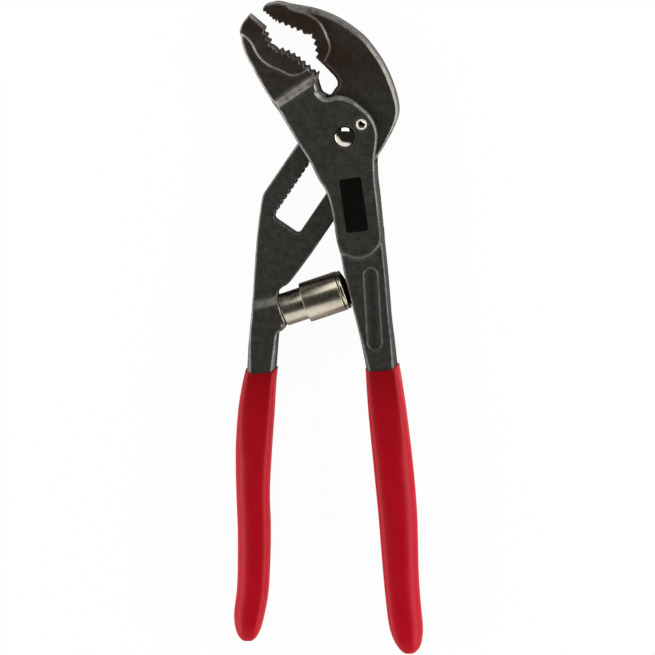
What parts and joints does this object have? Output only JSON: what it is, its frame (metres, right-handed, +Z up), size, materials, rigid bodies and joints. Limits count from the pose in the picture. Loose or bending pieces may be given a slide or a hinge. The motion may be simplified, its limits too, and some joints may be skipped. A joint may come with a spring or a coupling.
{
  "type": "self-adjusting pliers",
  "caption": "Self-adjusting slip-joint pliers: dark forged levers with toothed jaws, a slotted rack arm, red dipped grips and a sprung telescoping strut between the handles.",
  "frame": {"origin": "pivot axis where it meets the plane that the tool rests on when it lies flat", "axes": "+Y from the grips towards the jaws, +Z up out of the face that carries the bolt's domed head, +X to the right of the tool seen from above"},
  "size_m": [0.0712, 0.2493, 0.0166],
  "materials": {
    "forged_steel": "dark phosphated forging with lighter worn edges",
    "red_vinyl": "smooth dipped vinyl, semi-gloss",
    "polished_steel": "polished",
    "plain_steel": "machined",
    "nickel": "warm bright nickel plate",
    "black_plate": "matt black",
    "black_plastic": "matt black"
  },
  "bodies": {
    "front_lever": {"front_lever": "forged_steel", "front_grip": "red_vinyl", "pivot_bolt": "polished_steel", "pivot_nut": "plain_steel", "stop_pin": "polished_steel", "name_plate": "black_plate"},
    "locking_block": {"locking_block": "plain_steel", "release_leaf": "plain_steel", "pivot_bush": "plain_steel"},
    "back_lever": {"back_lever": "forged_steel", "back_grip": "red_vinyl", "strut_tube": "nickel", "strut_pin": "plain_steel", "strut_rod": "plain_steel", "strut_spring": "plain_steel"},
    "strut_outer": {"strut_sleeve": "nickel", "strut_ring": "nickel", "strut_cap": "black_plastic", "cap_clip": "plain_steel", "spring_seat": "plain_steel"}
  },
  "joints": [
    {"name": "handle_spread", "type": "hinge", "parent": "front_lever", "child": "locking_block", "pos_m": [0, 0, 0.00775], "axis": [0, 0, 1], "range_deg": [-15, 0]},
    {"name": "jaw_slide", "type": "slide", "parent": "locking_block", "child": "back_lever", "axis": [0.5592, 0.829, 0], "range_m": [0, 0.0158]},
    {"name": "strut_plunge", "type": "slide", "parent": "back_lever", "child": "strut_outer", "axis": [-0.9438, -0.3305, 0], "range_m": [0, 0.0034], "stiffness_N_per_m": 400}
  ],
  "couplings": [
    {"joint": "jaw_slide", "follows": "handle_spread", "m_per_rad": -0.06}
  ]
}
